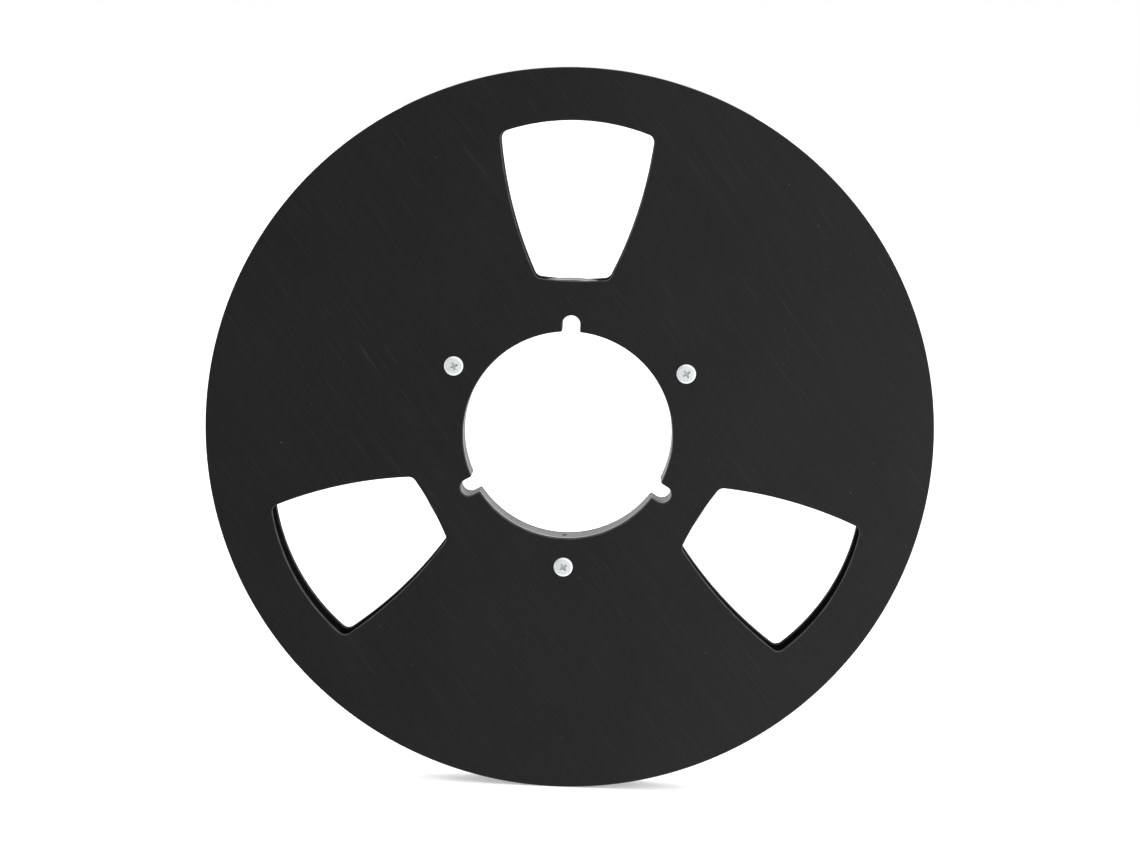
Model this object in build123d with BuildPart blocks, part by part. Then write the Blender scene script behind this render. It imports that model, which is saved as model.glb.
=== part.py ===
from build123d import *
import math
import os

os.makedirs("parts", exist_ok=True)

# An empty 10.5 inch class tape reel for quarter-inch tape: two aluminium
# flanges screwed to a turned hub ring that has the keyed three-inch bore.
# The reel's axis runs along Y, the front flange faces -Y, and +Z is up.
# The origin is on the axis, halfway between the flanges. Millimetres.

# Flanges
flange_diameter = 266.0
flange_thickness = 2.0
flange_bore_diameter = 76.6
flange_edge_break = 0.3

# Hub ring
hub_outer_diameter = 114.3
hub_bore_diameter = 76.3
hub_width = 8.8
hub_edge_break = 0.25
cross_hole_diameter = 1.8

# Key notches, three round-ended slots that open into the bore
notch_count = 3
notch_first_angle = 90.0
notch_end_centre = 40.95
flange_notch_width = 6.5
hub_notch_width = 6.35
notch_corner_radius = 0.6

# Windows in the flanges, each centred on a key notch
window_outer_reach = 114.2
window_outer_bow_radius = 76.4
window_outer_half_width = 27.8
window_inner_reach = 56.65
window_inner_bow = 0.8
window_inner_half_width = 13.25
window_side_bow = 2.4
window_corner_radius = 3.0

# Screws, three in each face, midway between the key notches
screw_count = 3
screw_circle_radius = 48.8
screw_first_angle = 30.0
screw_head_diameter = 7.0
screw_head_height = 1.0
screw_head_bevel_width = 0.6
screw_head_bevel_height = 0.4
screw_shank_diameter = 2.9
screw_shank_length = 5.0
screw_tip_chamfer = 0.4
recess_across = 3.2
recess_wing_width = 0.75
recess_depth = 0.9
recess_wall_taper = 5.0
recess_end_taper = 36.0
recess_core_diameter = 1.7
flange_hole_diameter = 3.4
tapped_hole_diameter = 3.0
tapped_hole_depth = 3.4

# How far each driver cross is turned, for the screws at 30, 150 and 270 degrees
front_cross_turns = (35.0, 22.0, 36.0)
rear_cross_turns = (12.0, 58.0, 71.0)

# Derived
half_turn = 180.0
match_tolerance = 0.01
flange_radius = flange_diameter / 2
inner_face = hub_width / 2
outer_face = inner_face + flange_thickness
third_turn = 360.0 / screw_count
front_plane = Plane.XZ.offset(outer_face)
front_inner_plane = Plane.XZ.offset(inner_face)
rear_plane = Plane(origin=(0, outer_face, 0), x_dir=(-1, 0, 0), z_dir=(0, 1, 0))
rear_inner_plane = rear_plane.offset(-flange_thickness)


def window_face():
    """Draw one window, centred on the sketch's upright axis; all four sides bow outwards."""
    bow_centre = window_outer_reach - window_outer_bow_radius
    outer_corner_height = bow_centre + math.sqrt(window_outer_bow_radius**2 - window_outer_half_width**2)
    outer_right = Vector(window_outer_half_width, outer_corner_height)
    inner_right = Vector(window_inner_half_width, window_inner_reach + window_inner_bow)
    outer_left = Vector(-outer_right.X, outer_right.Y)
    inner_left = Vector(-inner_right.X, inner_right.Y)
    with BuildSketch() as window:
        with BuildLine():
            ThreePointArc(outer_left, (0, window_outer_reach), outer_right)
            SagittaArc(outer_right, inner_right, window_side_bow)
            ThreePointArc(inner_right, (0, window_inner_reach), inner_left)
            SagittaArc(inner_left, outer_left, window_side_bow)
        make_face()
        fillet(window.vertices(), window_corner_radius)
    return window.sketch


def keyed_bore_face(bore_diameter, notch_width):
    """Draw a round bore with its three key notches, the corners between them eased."""
    bore_radius = bore_diameter / 2
    with BuildSketch() as bore:
        Circle(bore_radius)
        with PolarLocations(notch_end_centre, notch_count, start_angle=notch_first_angle):
            Circle(notch_width / 2)
        with PolarLocations(notch_end_centre / 2, notch_count, start_angle=notch_first_angle):
            Rectangle(notch_end_centre, notch_width)
        corners = bore.vertices().filter_by(lambda v: abs(v.center().length - bore_radius) < match_tolerance)
        fillet(corners, notch_corner_radius)
    return bore.sketch


def make_flange(label, inner_plane):
    """Make one flange plate, standing on the hub's face at inner_plane."""
    with BuildPart() as flange:
        with BuildSketch(inner_plane):
            Circle(flange_radius)
            add(keyed_bore_face(flange_bore_diameter, flange_notch_width), mode=Mode.SUBTRACT)
            with PolarLocations(0, notch_count):
                add(window_face(), mode=Mode.SUBTRACT)
        extrude(amount=flange_thickness)
        chamfer(flange.faces().filter_by(Axis.Y).edges(), flange_edge_break)
        with BuildSketch(inner_plane):
            with PolarLocations(screw_circle_radius, screw_count, start_angle=screw_first_angle):
                Circle(flange_hole_diameter / 2)
        extrude(amount=flange_thickness, mode=Mode.SUBTRACT)
    flange.part.label = label
    export_step(flange.part, f"parts/{label}.step")


make_flange("front_flange", front_inner_plane)
make_flange("rear_flange", rear_inner_plane)


# Hub: one turned ring, with the keyed bore, blind tapped holes in both faces
# and a small cross hole through the wall at the bottom, at mid-width.
with BuildPart() as hub:
    with BuildSketch(Plane.XZ.offset(-inner_face)):
        Circle(hub_outer_diameter / 2)
        add(keyed_bore_face(hub_bore_diameter, hub_notch_width), mode=Mode.SUBTRACT)
    extrude(amount=hub_width)
    chamfer(hub.faces().filter_by(Axis.Y).edges(), hub_edge_break)
    for side in (1, -1):
        with BuildSketch(Plane.XZ.offset(side * inner_face)):
            with PolarLocations(screw_circle_radius, screw_count, start_angle=screw_first_angle):
                Circle(tapped_hole_diameter / 2)
        extrude(amount=-side * tapped_hole_depth, mode=Mode.SUBTRACT)
    with BuildSketch(Plane.XY):
        Circle(cross_hole_diameter / 2)
    extrude(amount=-hub_outer_diameter, mode=Mode.SUBTRACT)
hub.part.label = "hub"
export_step(hub.part, "parts/hub.step")


def driver_recess(head_plane):
    """Make the cross-shaped hollow in a screw head, with tapering wings and a conical core."""
    with BuildPart() as recess:
        with BuildSketch(head_plane):
            Rectangle(recess_across, recess_wing_width)
            Rectangle(recess_wing_width, recess_across)
        extrude(amount=-recess_depth, taper=recess_wall_taper)
        with BuildSketch(head_plane):
            Circle(recess_across / 2)
        extrude(amount=-recess_depth, taper=recess_end_taper, mode=Mode.INTERSECT)
        with BuildSketch(head_plane):
            Circle(recess_core_diameter / 2)
        extrude(amount=-recess_depth, taper=recess_end_taper / 2)
    return recess.part


def make_screw(label, face_plane, angle, cross_turn):
    """Make one flat-headed screw, its head standing on face_plane at angle around the reel."""
    place = Vector(screw_circle_radius, 0).rotate(Axis.Z, angle)
    cross_direction = face_plane.x_dir.rotate(Axis((0, 0, 0), face_plane.z_dir), cross_turn)
    seat = Plane(face_plane.from_local_coords(place), x_dir=cross_direction, z_dir=face_plane.z_dir)
    out_of_face = Axis((0, 0, 0), face_plane.z_dir)
    with BuildPart() as screw:
        with BuildSketch(seat):
            Circle(screw_head_diameter / 2)
        extrude(amount=screw_head_height)
        rim = screw.edges().group_by(out_of_face)[-1]
        chamfer(rim, screw_head_bevel_height, screw_head_bevel_width)
        with BuildSketch(seat):
            Circle(screw_shank_diameter / 2)
        extrude(amount=-screw_shank_length)
        tip = screw.edges().group_by(out_of_face)[0]
        chamfer(tip, screw_tip_chamfer)
        add(driver_recess(seat.offset(screw_head_height)), mode=Mode.SUBTRACT)
    screw.part.label = label
    export_step(screw.part, f"parts/{label}.step")


for number, (front_turn, rear_turn) in enumerate(zip(front_cross_turns, rear_cross_turns)):
    angle = screw_first_angle + number * third_turn
    make_screw(f"front_screw_{number + 1}", front_plane, angle, front_turn)
    make_screw(f"rear_screw_{number + 1}", rear_plane, half_turn - angle, rear_turn)
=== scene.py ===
import bmesh
import bpy
import math
from mathutils import Matrix, Vector


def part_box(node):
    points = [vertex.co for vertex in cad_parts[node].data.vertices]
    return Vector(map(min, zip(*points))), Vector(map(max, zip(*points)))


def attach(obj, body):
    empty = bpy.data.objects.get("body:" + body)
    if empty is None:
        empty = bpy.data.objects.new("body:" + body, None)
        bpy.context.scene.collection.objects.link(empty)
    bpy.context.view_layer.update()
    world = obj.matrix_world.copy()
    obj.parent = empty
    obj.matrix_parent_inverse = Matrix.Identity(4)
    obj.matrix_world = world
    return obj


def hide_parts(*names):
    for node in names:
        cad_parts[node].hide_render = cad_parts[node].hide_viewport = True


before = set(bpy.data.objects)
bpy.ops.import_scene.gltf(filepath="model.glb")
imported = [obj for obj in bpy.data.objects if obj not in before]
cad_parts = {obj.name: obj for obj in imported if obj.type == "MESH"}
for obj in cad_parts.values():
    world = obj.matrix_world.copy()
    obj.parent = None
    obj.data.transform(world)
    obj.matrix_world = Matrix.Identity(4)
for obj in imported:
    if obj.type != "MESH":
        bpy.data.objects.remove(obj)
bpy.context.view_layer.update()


# Camera. It stands an arm's length in front of the reel, a little above the axis, and looks
# slightly down on it. It is rolled a touch, and the lens is shifted to frame the reel.

viewpoint = Vector((0.0101, -0.7570, 0.1220))
looked_at = Vector((-0.0126, 0.0, 0.0092))
camera_roll = math.radians(1.756)
lens_length = 65.8
sensor_width = 36.0
shift_right = 0.0312
shift_up = -0.0176

lens = bpy.data.cameras.new("camera")
lens.lens = lens_length
lens.sensor_width = sensor_width
lens.shift_x = shift_right
lens.shift_y = shift_up
camera = bpy.data.objects.new("camera", lens)
bpy.context.scene.collection.objects.link(camera)
sight_line = (looked_at - viewpoint).normalized()
upright = Vector((-math.sin(camera_roll), 0.0, math.cos(camera_roll)))
rightward = sight_line.cross(upright).normalized()
upward = rightward.cross(sight_line)
facing = Matrix((rightward, upward, -sight_line)).transposed().to_4x4()
camera.matrix_world = Matrix.Translation(viewpoint) @ facing
bpy.context.scene.camera = camera


# Flanges. Two alike plates, cut from 2 mm aluminium sheet with a straight fine grain, their
# edges lightly broken, then black anodised. Each is held to the hub by three screws.

flange_low, flange_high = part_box("front_flange")
flange_radius = flange_high.x
flange_edge_break = 0.0003
flange_hole_radius = 0.0017
flange_bore_radius = 0.0383
flange_notch_half_width = 0.00325
notch_end_radius = 0.04095
notch_corner_radius = 0.0006
notch_count = 3
third_turn = math.radians(120)
chord_tolerance = 0.000004
edge_segments = 3
drill_steps = 32
crease_angle = math.radians(14)
front_facing = Vector((0.0, -1.0, 0.0))


def steps_for(radius, angle):
    """Work out how many straight steps keep an arc true to within the chord tolerance."""
    widest = 2 * math.acos(1 - chord_tolerance / radius)
    return max(3, math.ceil(abs(angle) / widest))


def turned(point, angle):
    """Turn a point about the reel's axis, anticlockwise as seen from the front."""
    return Matrix.Rotation(angle, 3, front_facing) @ point


def angle_between(centre, start, end):
    """Give the anticlockwise angle about centre from start to end, as seen from the front."""
    from_start = math.atan2(start.z - centre.z, start.x - centre.x)
    to_end = math.atan2(end.z - centre.z, end.x - centre.x)
    return (to_end - from_start) % (2 * math.pi)


def spin_on(mesh, point, centre, angle):
    """Carry an outline on from point, round centre, and return its new end."""
    steps = steps_for((point.co - centre).length, angle)
    spun = bmesh.ops.spin(
        mesh, geom=[point], cent=centre, axis=front_facing, angle=angle, steps=steps
    )
    return [v for v in spun["geom_last"] if isinstance(v, bmesh.types.BMVert)][0]


def run_on(mesh, point, end):
    """Carry an outline straight on from point to the place end, and return its new end."""
    moved = bmesh.ops.extrude_vert_indiv(mesh, verts=[point])["verts"][0]
    moved.co = end
    return moved


def draw_circle(mesh, radius):
    """Draw a circle about the reel's axis."""
    start = mesh.verts.new((radius, 0.0, 0.0))
    spin_on(mesh, start, Vector((0, 0, 0)), 2 * math.pi)


def draw_keyed_bore(mesh, bore_radius, half_width):
    """Draw a bore that three round-ended key notches open into, with eased corners."""
    easing = notch_corner_radius
    side = half_width + easing
    corner = Vector((side, 0.0, math.sqrt((bore_radius + easing) ** 2 - side**2)))
    on_bore = corner * bore_radius / (bore_radius + easing)
    easing_angle = angle_between(corner, on_bore, Vector((half_width, 0.0, corner.z)))
    between_notches = third_turn - 2 * math.atan2(on_bore.x, on_bore.z)
    point = mesh.verts.new(on_bore)
    for number in range(notch_count):
        place = number * third_turn
        eased = easing_angle - 2 * math.pi
        point = spin_on(mesh, point, turned(corner, place), eased)
        point = run_on(mesh, point, turned(Vector((half_width, 0.0, notch_end_radius)), place))
        point = spin_on(mesh, point, turned(Vector((0.0, 0.0, notch_end_radius)), place), math.pi)
        point = run_on(mesh, point, turned(Vector((-half_width, 0.0, corner.z)), place))
        point = spin_on(mesh, point, turned(Vector((-corner.x, 0.0, corner.z)), place), eased)
        point = spin_on(mesh, point, Vector((0, 0, 0)), between_notches)


# A window's four sides are arcs that all bow outwards, so it is where four discs overlap.
window_outer_reach = 0.1142
window_outer_radius = 0.0764
window_outer_half_width = 0.0278
window_inner_reach = 0.05665
window_inner_bow = 0.0008
window_inner_half_width = 0.01325
window_side_bow = 0.0024
window_corner_radius = 0.003


def window_discs():
    """Give the four discs of the top window as centre and radius, anticlockwise from the outer."""
    outer = Vector((0.0, 0.0, window_outer_reach - window_outer_radius))
    corner_height = outer.z + math.sqrt(window_outer_radius**2 - window_outer_half_width**2)
    outer_corner = Vector((window_outer_half_width, 0.0, corner_height))
    inner_corner = Vector((window_inner_half_width, 0.0, window_inner_reach + window_inner_bow))
    side_run = outer_corner - inner_corner
    half_run = side_run.length / 2
    side_radius = (half_run**2 + window_side_bow**2) / (2 * window_side_bow)
    outwards = Vector((side_run.z, 0.0, -side_run.x)).normalized()
    middle = (outer_corner + inner_corner) / 2
    right = middle - outwards * (side_radius - window_side_bow)
    left = Vector((-right.x, 0.0, right.z))
    inner_radius = (window_inner_half_width**2 + window_inner_bow**2) / (2 * window_inner_bow)
    inner = Vector((0.0, 0.0, window_inner_reach + inner_radius))
    return [
        (outer, window_outer_radius), (left, side_radius), (inner, inner_radius), (right, side_radius),
    ]


def corner_centre(first, second, middle):
    """Find the centre of the rounded corner inside two discs, the one nearest to middle."""
    (a, a_radius), (b, b_radius) = first, second
    a_reach = a_radius - window_corner_radius
    b_reach = b_radius - window_corner_radius
    between = b - a
    along = (a_reach**2 - b_reach**2 + between.length**2) / (2 * between.length)
    across = math.sqrt(a_reach**2 - along**2)
    direction = between.normalized()
    sideways = Vector((-direction.z, 0.0, direction.x))
    choices = [a + direction * along + sideways * across, a + direction * along - sideways * across]
    return min(choices, key=lambda centre: (centre - middle).length)


def draw_window(mesh, angle):
    """Draw one window with rounded corners, turned by angle from the top."""
    discs = window_discs()
    middles = [
        Vector((-window_outer_half_width, 0.0, window_outer_reach)),
        Vector((-window_inner_half_width, 0.0, window_inner_reach)),
        Vector((window_inner_half_width, 0.0, window_inner_reach)),
        Vector((window_outer_half_width, 0.0, window_outer_reach)),
    ]
    corners = [corner_centre(discs[i], discs[(i + 1) % 4], middles[i]) for i in range(4)]

    def touching(corner, disc):
        centre, radius = disc
        return centre + (corner - centre).normalized() * radius

    point = mesh.verts.new(turned(touching(corners[3], discs[0]), angle))
    for i in range(4):
        centre, radius = discs[i]
        following = discs[(i + 1) % 4]
        arc_end = touching(corners[i], discs[i])
        arc = angle_between(centre, touching(corners[i - 1], discs[i]), arc_end)
        point = spin_on(mesh, point, turned(centre, angle), arc)
        bend = angle_between(corners[i], arc_end, touching(corners[i], following))
        point = spin_on(mesh, point, turned(corners[i], angle), bend)


def thicken(mesh, low, high, edge_break):
    """Fill the outlines, raise them into a plate from y = low to high, and break its edges."""
    bmesh.ops.remove_doubles(mesh, verts=mesh.verts, dist=chord_tolerance / 2)
    bmesh.ops.triangle_fill(mesh, use_beauty=True, edges=mesh.edges, normal=front_facing)
    bmesh.ops.translate(mesh, verts=mesh.verts, vec=(0.0, low, 0.0))
    raised = bmesh.ops.extrude_face_region(mesh, geom=mesh.faces[:])
    lifted = [v for v in raised["geom"] if isinstance(v, bmesh.types.BMVert)]
    bmesh.ops.translate(mesh, verts=lifted, vec=(0.0, high - low, 0.0))
    bmesh.ops.recalc_face_normals(mesh, faces=mesh.faces)
    rims = [
        edge for edge in mesh.edges
        if len(edge.link_faces) == 2
        and sum(abs(face.normal.y) > 0.5 for face in edge.link_faces) == 1
    ]
    broken = mesh.faces.layers.float.new("edge_break")
    cut = mesh.faces.layers.float.new("cut_wall")
    for face in mesh.faces:
        face[cut] = float(abs(face.normal.y) < 0.5)
    bevelled = bmesh.ops.bevel(
        mesh, geom=rims, affect="EDGES", offset=edge_break, segments=edge_segments,
        profile=0.5, material=-1,
    )
    for face in bevelled["faces"]:
        face[broken] = 1.0
        face[cut] = 0.0


def finish_piece(mesh, name, material, slot, *nodes):
    """Turn a finished bmesh into a piece that stands for its CAD nodes."""
    data = bpy.data.meshes.new(name)
    mesh.to_mesh(data)
    mesh.free()
    data.shade_smooth()
    data.set_sharp_from_angle(angle=crease_angle)
    data.materials.append(material)
    piece = bpy.data.objects.new(name, data)
    bpy.context.scene.collection.objects.link(piece)
    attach(piece, "root")
    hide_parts(*nodes)
    return piece


def cut_away(piece, cutter):
    """Cut one mesh out of a piece for good, and throw the cutter away."""
    data = bpy.data.meshes.new("cutter")
    cutter.to_mesh(data)
    cutter.free()
    tool = bpy.data.objects.new("cutter", data)
    bpy.context.scene.collection.objects.link(tool)
    cut = piece.modifiers.new("cut", "BOOLEAN")
    cut.operation = "DIFFERENCE"
    cut.solver = "EXACT"
    cut.object = tool
    bpy.context.view_layer.update()
    done = bpy.data.meshes.new_from_object(piece.evaluated_get(bpy.context.evaluated_depsgraph_get()))
    piece.modifiers.remove(cut)
    piece.data = done
    bpy.data.objects.remove(tool)


def screw_drills(side, radius, low, high):
    """Give three round drills on one side's screws, reaching from y = low to high."""
    drills = bmesh.new()
    for number in (1, 2, 3):
        head_low, head_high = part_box(f"{side}_screw_{number}")
        middle = (head_low + head_high) / 2
        place = Matrix.Translation((middle.x, (low + high) / 2, middle.z))
        bmesh.ops.create_cone(
            drills, cap_ends=True, segments=drill_steps, radius1=radius, radius2=radius, depth=high - low,
            matrix=place @ Matrix.Rotation(math.pi / 2, 4, "X"),
        )
    return drills


class Value:
    """A shader socket that can be used in sums, each operator adding its Math node."""

    def __init__(self, finish, socket):
        self.finish = finish
        self.socket = socket

    def sum(self, operation, first, second):
        return self.finish.node("ShaderNodeMath", {"operation": operation}, {0: first, 1: second})

    def __add__(self, other):
        return self.sum("ADD", self, other)

    def __sub__(self, other):
        return self.sum("SUBTRACT", self, other)

    def __rsub__(self, other):
        return self.sum("SUBTRACT", other, self)

    def __mul__(self, other):
        return self.sum("MULTIPLY", self, other)

    __radd__ = __add__
    __rmul__ = __mul__


class Finish:
    """A material, or the studio's light, being built up from nodes."""

    def __init__(self, owner):
        self.owner = owner
        owner.use_nodes = True
        self.tree = owner.node_tree
        self.tree.nodes.clear()

    def node(self, kind, settings, sockets, output=0):
        """Add a node: its settings are made first, then its sockets are set or linked."""
        made = self.tree.nodes.new(kind)
        for name, setting in settings.items():
            if name == "stops":
                for stop, (position, level) in zip(made.color_ramp.elements, setting):
                    stop.position = position
                    stop.color = (level, level, level, 1.0)
            else:
                setattr(made, name, setting)
        for name, given in sockets.items():
            if isinstance(given, Value):
                self.tree.links.new(given.socket, made.inputs[name])
            else:
                made.inputs[name].default_value = given
        return Value(self, made.outputs[output])

    def stretched_noise(self, turn, scale, detail=2.0):
        """Add noise drawn out along one direction, turned about the reel's axis."""
        place = self.node("ShaderNodeTexCoord", {}, {}, "Object")
        laid = self.node("ShaderNodeMapping", {}, {"Vector": place, "Rotation": (0.0, turn, 0.0)})
        drawn = self.node("ShaderNodeVectorMath", {"operation": "MULTIPLY"}, {0: laid, 1: scale})
        return self.node("ShaderNodeTexNoise", {}, {"Vector": drawn, "Scale": 1.0, "Detail": detail})

    def threshold(self, level, low, high):
        """Turn a level into a mask that rises from nought at low to one at high."""
        return self.node("ShaderNodeValToRGB", {"stops": ((low, 0.0), (high, 1.0))}, {"Fac": level})

    def blend(self, mask, plain, other):
        """Mix two colours by a mask."""
        sockets = {"Factor": mask, 6: plain, 7: other}
        return self.node("ShaderNodeMix", {"data_type": "RGBA"}, sockets, 2)

    def close(self, height, depth, **surface):
        """Join the surface shader, with height as its bump, to the output."""
        bump = self.node("ShaderNodeBump", {}, {"Height": height, "Strength": 1.0, "Distance": depth})
        named = {name.replace("_", " "): given for name, given in surface.items()}
        shader = self.node("ShaderNodeBsdfPrincipled", {}, {**named, "Normal": bump})
        output = self.tree.nodes.new("ShaderNodeOutputMaterial")
        self.tree.links.new(shader.socket, output.inputs["Surface"])
        return self.owner


def black_anodised():
    """Satin black over straight sheet grain, with hairlines along it, dust and rubbed edges."""
    grain_turn = math.radians(-53)
    finish = Finish(bpy.data.materials.new("black_anodised_sheet"))
    fine_grain = finish.stretched_noise(grain_turn, (30.0, 30.0, 4200.0))
    wide_grain = finish.stretched_noise(grain_turn, (12.0, 12.0, 700.0))
    clouds = finish.stretched_noise(0.0, (22.0, 22.0, 22.0), 4.0)
    dust = finish.threshold(finish.stretched_noise(0.0, (900.0, 900.0, 900.0), 0.0), 0.85, 0.89)
    scratches = finish.stretched_noise(grain_turn, (55.0, 55.0, 2400.0), 0.0)
    hairlines = finish.threshold(scratches, 0.72, 0.80)
    broken = finish.node("ShaderNodeAttribute", {"attribute_name": "edge_break"}, {}, "Fac")
    cut = finish.node("ShaderNodeAttribute", {"attribute_name": "cut_wall"}, {}, "Fac")
    rubbing = finish.threshold(finish.stretched_noise(0.0, (160.0, 160.0, 160.0), 3.0), 0.42, 0.68)
    shearing = finish.stretched_noise(0.0, (1500.0, 260.0, 1500.0), 1.0)
    tone = fine_grain * 0.28 + wide_grain * 0.22 + clouds * 0.3 + 0.1
    grained = finish.blend(tone, (0.0005, 0.0006, 0.0007, 1.0), (0.0090, 0.0088, 0.0080, 1.0))
    dusted = finish.blend(dust * 0.16 + hairlines * 0.022, grained, (0.30, 0.29, 0.27, 1.0))
    worn = finish.blend(broken * (rubbing * 0.10 + 0.01), dusted, (0.42, 0.42, 0.41, 1.0))
    roughness = fine_grain * 0.12 + wide_grain * 0.06 + clouds * 0.08 + 0.20 + cut * 0.60
    return finish.close(
        fine_grain + wide_grain * 0.55 + cut * shearing * 16, 0.000006,
        Base_Color=worn, Roughness=roughness, Specular_IOR_Level=0.42,
    )


flange_finish = black_anodised()
for side in ("front", "rear"):
    low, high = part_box(f"{side}_flange")
    plate = bmesh.new()
    draw_circle(plate, flange_radius)
    draw_keyed_bore(plate, flange_bore_radius, flange_notch_half_width)
    for number in range(notch_count):
        draw_window(plate, number * third_turn)
    thicken(plate, low.y, high.y, flange_edge_break)
    piece = finish_piece(plate, f"{side}_plate", flange_finish, "black_anodised", f"{side}_flange")
    drill_low = low.y - flange_hole_radius
    drill_high = high.y + flange_hole_radius
    cut_away(piece, screw_drills(side, flange_hole_radius, drill_low, drill_high))
    piece.data.set_sharp_from_angle(angle=crease_angle)


# Hub. One ring turned from bare aluminium, the tape winds on its outer wall. Its bore is a
# hair tighter than the flanges', and a small cross hole is drilled through at the bottom.

hub_low, hub_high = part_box("hub")
hub_bore_radius = 0.03815
hub_notch_half_width = 0.003175
hub_edge_break = 0.00025
cross_hole_radius = 0.0009
tapped_hole_radius = 0.0015
tapped_hole_depth = 0.0034
drill_length = 0.03
hole_shade_reach = 1.05


def turned_aluminium():
    """Bare aluminium with tool lines running round the axis; shade is painted dark inside the cross hole.
    """
    finish = Finish(bpy.data.materials.new("turned_aluminium"))
    tool_lines = finish.stretched_noise(0.0, (12.0, 5200.0, 12.0), 1.0)
    bands = finish.stretched_noise(0.0, (6.0, 900.0, 6.0), 1.0)
    clouds = finish.stretched_noise(0.0, (140.0, 140.0, 140.0), 3.0)
    place = finish.node("ShaderNodeTexCoord", {}, {}, "Object")
    across = {0: place, 1: (1.0, 1.0, 0.0)}
    flattened = finish.node("ShaderNodeVectorMath", {"operation": "MULTIPLY"}, across)
    from_drill = finish.node("ShaderNodeVectorMath", {"operation": "LENGTH"}, {0: flattened}, "Value")
    shade_radius = cross_hole_radius * hole_shade_reach
    in_line = finish.node("ShaderNodeMath", {"operation": "LESS_THAN"}, {0: from_drill, 1: shade_radius})
    height = finish.node("ShaderNodeSeparateXYZ", {}, {"Vector": place}, "Z")
    below_axis = finish.node("ShaderNodeMath", {"operation": "LESS_THAN"}, {0: height, 1: 0.0})
    # Painted shade: the inside of the cross hole is coloured near-black in place of the shade that falls
    # in it.
    painted_hole_shade = in_line * below_axis
    colour = finish.blend(bands * 0.5 + clouds * 0.5, (0.37, 0.38, 0.37, 1.0), (0.47, 0.48, 0.47, 1.0))
    colour_with_painted_hole_shade = finish.blend(painted_hole_shade, colour, (0.03, 0.03, 0.03, 1.0))
    return finish.close(
        tool_lines, 0.000006,
        Base_Color=colour_with_painted_hole_shade, Roughness=tool_lines * 0.12 + clouds * 0.10 + 0.26, Metallic=1.0,
    )


ring = bmesh.new()
draw_circle(ring, hub_high.x)
draw_keyed_bore(ring, hub_bore_radius, hub_notch_half_width)
thicken(ring, hub_low.y, hub_high.y, hub_edge_break)
hub_ring = finish_piece(ring, "hub_ring", turned_aluminium(), "bare_aluminium", "hub")
drill = bmesh.new()
bmesh.ops.create_cone(
    drill, cap_ends=True, segments=drill_steps, radius1=cross_hole_radius, radius2=cross_hole_radius,
    depth=drill_length,
)
bmesh.ops.translate(drill, verts=drill.verts, vec=(0.0, 0.0, -(hub_bore_radius + hub_high.x) / 2))
cut_away(hub_ring, drill)
for side, low, high in (
    ("front", hub_low.y - tapped_hole_depth, hub_low.y + tapped_hole_depth),
    ("rear", hub_high.y - tapped_hole_depth, hub_high.y + tapped_hole_depth),
):
    cut_away(hub_ring, screw_drills(side, tapped_hole_radius, low, high))
hub_ring.data.set_sharp_from_angle(angle=crease_angle)


# Screws. Three in each face, pressed and thread-rolled from steel and zinc plated. The flat
# head with its bevelled rim stands on the flange, and its cross recess has tapering wings.

head_flat_radius = 0.0029
head_radius = 0.0035
head_side_height = 0.0006
head_height = 0.001
head_edge_rounding = 0.00012
shank_radius = 0.00145
shank_length = 0.005
shank_tip_chamfer = 0.0004
head_crease_angle = math.radians(7)
merge_distance = 0.000001
screw_steps = 72
recess_across = 0.0032
recess_wing_width = 0.00075
recess_depth = 0.0009
recess_end_taper = math.radians(36)
recess_wall_taper = math.radians(5)
recess_core_radius = 0.00085
cross_turns = {"front": (35, 22, 36), "rear": (12, 58, 71)}


def zinc_plated():
    """Bright zinc with the soft mottle of barrel plating, and shade painted a little darker into the
    cross.
    """
    finish = Finish(bpy.data.materials.new("zinc_plated_steel"))
    mottle = finish.stretched_noise(0.0, (900.0, 900.0, 900.0), 3.0)
    recess_painted_shade = finish.node("ShaderNodeAttribute", {"attribute_name": "recess_painted_shade"}, {}, "Fac")
    plated = finish.blend(mottle, (0.74, 0.78, 0.79, 1.0), (0.88, 0.91, 0.92, 1.0))
    # Painted shade: faces inside the screw's cross are coloured darker in place of the shade that falls
    # there.
    colour = finish.blend(recess_painted_shade * 0.28, plated, (0.16, 0.16, 0.15, 1.0))
    return finish.close(
        mottle, 0.000008, Base_Color=colour, Roughness=mottle * 0.14 + 0.34, Metallic=0.60
    )


def screw_blank():
    """Spin the screw's half section round its own axis, standing on z = 0 with its head up."""
    section = bmesh.new()
    corners = (
        (0.0, head_height), (head_flat_radius, head_height), (head_radius, head_side_height),
        (head_radius, 0.0), (shank_radius, 0.0), (shank_radius, shank_tip_chamfer - shank_length),
        (shank_radius - shank_tip_chamfer, -shank_length), (0.0, -shank_length),
    )
    points = [section.verts.new((radius, 0.0, height)) for radius, height in corners]
    for first, second in zip(points, points[1:]):
        section.edges.new((first, second))
    bmesh.ops.spin(
        section, geom=section.verts[:] + section.edges[:], cent=(0, 0, 0), axis=(0, 0, 1),
        angle=2 * math.pi, steps=screw_steps, use_merge=True,
    )
    bmesh.ops.remove_doubles(section, verts=section.verts, dist=merge_distance)
    bmesh.ops.recalc_face_normals(section, faces=section.faces)
    rounded = [
        edge for edge in section.edges
        if abs(edge.verts[0].co.z - edge.verts[1].co.z) < merge_distance
        and min(v.co.z for v in edge.verts) > head_side_height / 2
        and min(v.co.xy.length for v in edge.verts) > head_flat_radius * 0.9
    ]
    bmesh.ops.bevel(
        section, geom=rounded, affect="EDGES", offset=head_edge_rounding, segments=edge_segments,
        profile=0.5, material=-1,
    )
    return section


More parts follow.
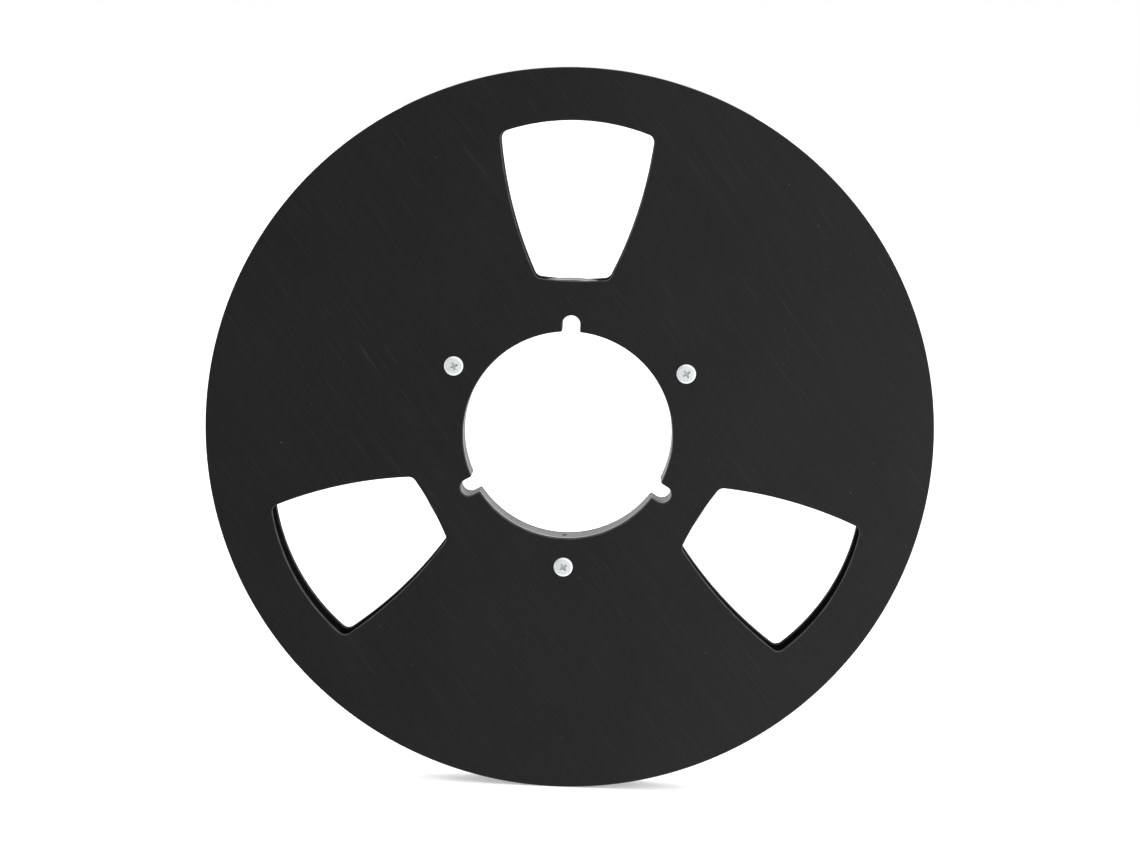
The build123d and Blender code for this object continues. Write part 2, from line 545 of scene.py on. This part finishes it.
def recess_tools():
    """Give the three shapes that sink the cross: two tapering wings and a round core."""
    tools = []
    for turn in (0.0, math.pi / 2):
        wing = bmesh.new()
        bmesh.ops.create_cube(wing, size=1.0)
        bmesh.ops.scale(wing, verts=wing.verts, vec=(recess_across, recess_wing_width, 2 * recess_depth))
        for v in wing.verts:
            v.co.x += math.copysign(1.0, v.co.x) * v.co.z * math.tan(recess_end_taper)
            v.co.y += math.copysign(1.0, v.co.y) * v.co.z * math.tan(recess_wall_taper)
        bmesh.ops.rotate(wing, verts=wing.verts, cent=(0, 0, 0), matrix=Matrix.Rotation(turn, 3, "Z"))
        tools.append(wing)
    core = bmesh.new()
    core_narrowing = recess_depth * math.tan(recess_end_taper / 2)
    bmesh.ops.create_cone(
        core, cap_ends=True, segments=drill_steps, radius1=recess_core_radius - core_narrowing,
        radius2=recess_core_radius + core_narrowing, depth=2 * recess_depth,
    )
    tools.append(core)
    for tool in tools:
        bmesh.ops.translate(tool, verts=tool.verts, vec=(0.0, 0.0, head_height))
    return tools


screw_finish = zinc_plated()
for side, outward in (("front", -1.0), ("rear", 1.0)):
    flange_front, flange_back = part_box(f"{side}_flange")
    seat = flange_front.y if outward < 0 else flange_back.y
    for number in (1, 2, 3):
        low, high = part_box(f"{side}_screw_{number}")
        place = Vector(((low.x + high.x) / 2, seat, (low.z + high.z) / 2))
        cross_turn = math.radians(cross_turns[side][number - 1])
        stood_up = Matrix.Rotation(-outward * math.pi / 2, 4, "X")
        blank = screw_blank()
        blank.transform(Matrix.Rotation(cross_turn, 4, "Z"))
        screw = finish_piece(
            blank, f"{side}_fixing_{number}", screw_finish, "zinc_steel", f"{side}_screw_{number}"
        )
        for tool in recess_tools():
            bmesh.ops.rotate(
                tool, verts=tool.verts, cent=(0, 0, 0), matrix=Matrix.Rotation(cross_turn, 3, "Z")
            )
            cut_away(screw, tool)
        # Mark the faces inside the cross, where shade is painted into the zinc's colour.
        recess_shade_layer = screw.data.attributes.new("recess_painted_shade", "FLOAT", "FACE")
        for face in screw.data.polygons:
            below_top = 0.0 < face.center.z < head_height - chord_tolerance
            if below_top and face.center.xy.length < recess_across / 2:
                recess_shade_layer.data[face.index].value = 1.0
        screw.data.transform(Matrix.Translation(place) @ stood_up)
        screw.data.shade_smooth()
        screw.data.set_sharp_from_angle(angle=head_crease_angle)


# Floor. A wide sheet of white acrylic, faintly lit from below, that the reel stands on, on the
# rims of its two flanges. The black faces mirror the tent in place of it.

floor_reach = 40.0

floor_mesh = bmesh.new()
bmesh.ops.create_grid(floor_mesh, x_segments=1, y_segments=1, size=floor_reach)
bmesh.ops.translate(floor_mesh, verts=floor_mesh.verts, vec=(0.0, 0.0, flange_low.z))
floor_data = bpy.data.meshes.new("floor")
floor_mesh.to_mesh(floor_data)
floor_mesh.free()
pale = Finish(bpy.data.materials.new("pale_floor"))
floor_clouds = pale.stretched_noise(0.0, (3.0, 3.0, 3.0), 3.0)
floor_colour = pale.blend(floor_clouds, (0.92, 0.92, 0.92, 1.0), (0.94, 0.94, 0.94, 1.0))
floor_data.materials.append(pale.close(
    floor_clouds, 0.00001, Base_Color=floor_colour, Roughness=0.8,
    Emission_Color=(1.0, 1.0, 1.0, 1.0), Emission_Strength=0.35,
))
floor = bpy.data.objects.new("floor", floor_data)
bpy.context.scene.collection.objects.link(floor)
floor.visible_glossy = False


# Light. A white tent round the reel, its sides and top brightly lit. It is dimmer around the
# camera, mostly to its left, so the black stays black, and behind, so the metal has form. The
# camera itself sees the tent as plain white.

side_light = 2.0
camera_end = Vector((-0.70, -1.0, 0.055)).normalized()
camera_end_share = 0.13
far_end = Vector((0.0, 1.0, 0.0))
far_end_share = 0.17
left_wall = Vector((-1.0, 0.0, 0.0))

studio = bpy.data.worlds.new("studio")
tent = Finish(studio)
outward_look = tent.node("ShaderNodeTexCoord", {}, {}, "Generated")


def fading(end, near, far, at_near, at_far):
    """Give the share of light by how squarely a direction faces one end, between near and far."""
    pair = {0: outward_look, 1: end}
    towards = tent.node("ShaderNodeVectorMath", {"operation": "DOT_PRODUCT"}, pair, "Value")
    reach = {"Value": towards, "From Min": near, "From Max": far, "To Min": at_near, "To Max": at_far}
    return tent.node("ShaderNodeMapRange", {"interpolation_type": "SMOOTHSTEP"}, reach)


by_camera = fading(camera_end, 0.90, 0.20, camera_end_share, 1.0)
on_left = fading(left_wall, 0.98, 0.80, 1.0, 0.0)
behind = fading(far_end, 0.95, 0.55, far_end_share, 1.0)
open_side = tent.node("ShaderNodeMath", {"operation": "MAXIMUM"}, {0: by_camera, 1: on_left})
tent_light = open_side * behind * side_light
seen = tent.node("ShaderNodeLightPath", {}, {}, "Is Camera Ray")
strength = tent_light * (1 - seen) + seen
glow = tent.node("ShaderNodeBackground", {}, {"Color": (1.0, 1.0, 1.0, 1.0), "Strength": strength})
tent_output = tent.tree.nodes.new("ShaderNodeOutputWorld")
tent.tree.links.new(glow.socket, tent_output.inputs["Surface"])
bpy.context.scene.world = studio
bpy.context.scene.view_settings.view_transform = "Standard"
